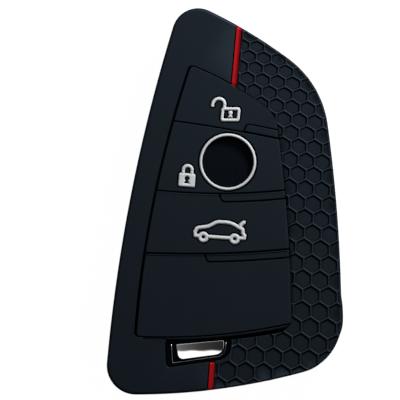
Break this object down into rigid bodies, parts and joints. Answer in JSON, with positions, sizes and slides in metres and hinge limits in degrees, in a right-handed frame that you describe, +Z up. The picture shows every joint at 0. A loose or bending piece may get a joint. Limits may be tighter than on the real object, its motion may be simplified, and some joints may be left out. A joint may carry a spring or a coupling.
{
  "type": "key fob cover on a remote",
  "caption": "Silicone key fob cover with honeycomb grip, red stripes and raised button pads, fitted on a remote whose keys, board, cell and spare blade are inside",
  "frame": {"origin": "on the resting plane under the middle of the outline, the part lying on its back", "axes": "X to the honeycomb side, Y to the narrow tip, Z up out of the button face"},
  "size_m": [0.0594, 0.0966, 0.0171],
  "materials": {
    "cover_black": "matt moulded silicone",
    "accent_red": "satin silicone",
    "icon_white": "satin silicone",
    "fob_black": "fine grained plastic",
    "key_black": "polished plastic",
    "bright_chrome": "polished plating",
    "seal_grey": "moulded seal",
    "board_green": "solder mask on laminate",
    "part_black": "moulded part",
    "plunger_white": "moulded part",
    "steel": "plain metal"
  },
  "bodies": {
    "covered_remote": {"cover_shell": "cover_black", "upper_red_stripe": "accent_red", "lower_red_stripe": "accent_red", "fob_front_housing": "fob_black", "fob_rear_housing": "fob_black", "battery_cover": "fob_black", "trim_bezel": "key_black", "chrome_plate": "bright_chrome", "trim_rim": "bright_chrome", "housing_seal": "seal_grey", "circuit_board": "board_green", "control_chip": "part_black", "antenna_coil": "part_black", "unlock_switch": "part_black", "lock_switch": "part_black", "trunk_switch": "part_black", "coin_cell": "steel", "negative_contact": "steel", "positive_contact": "steel", "emergency_blade": "steel"},
    "unlock_button": {"unlock_pad": "cover_black", "unlock_icon": "icon_white"},
    "lock_button": {"lock_pad": "cover_black", "lock_icon": "icon_white", "lock_ring": "icon_white"},
    "trunk_button": {"trunk_pad": "cover_black", "trunk_icon": "icon_white"},
    "unlock_key_body": {"unlock_key": "key_black", "unlock_plunger": "plunger_white"},
    "lock_key_body": {"lock_key": "key_black", "lock_key_disc": "key_black", "lock_plunger": "plunger_white"},
    "trunk_key_body": {"trunk_key": "key_black", "trunk_plunger": "plunger_white"}
  },
  "joints": [
    {"name": "unlock_press", "type": "slide", "parent": "covered_remote", "child": "unlock_button", "axis": [0, 0, -1], "range_m": [0, 0.0006], "stiffness_N_per_m": 1500, "springref_m": -0.0005},
    {"name": "unlock_key_press", "type": "slide", "parent": "covered_remote", "child": "unlock_key_body", "axis": [0, 0, -1], "range_m": [0, 0.0006]},
    {"name": "lock_press", "type": "slide", "parent": "covered_remote", "child": "lock_button", "axis": [0, 0, -1], "range_m": [0, 0.0006], "stiffness_N_per_m": 1500, "springref_m": -0.0005},
    {"name": "lock_key_press", "type": "slide", "parent": "covered_remote", "child": "lock_key_body", "axis": [0, 0, -1], "range_m": [0, 0.0006]},
    {"name": "trunk_press", "type": "slide", "parent": "covered_remote", "child": "trunk_button", "axis": [0, 0, -1], "range_m": [0, 0.0006], "stiffness_N_per_m": 1500, "springref_m": -0.0005},
    {"name": "trunk_key_press", "type": "slide", "parent": "covered_remote", "child": "trunk_key_body", "axis": [0, 0, -1], "range_m": [0, 0.0006]}
  ],
  "couplings": [
    {"joint": "unlock_key_press", "follows": "unlock_press", "ratio": 1},
    {"joint": "lock_key_press", "follows": "lock_press", "ratio": 1},
    {"joint": "trunk_key_press", "follows": "trunk_press", "ratio": 1}
  ]
}
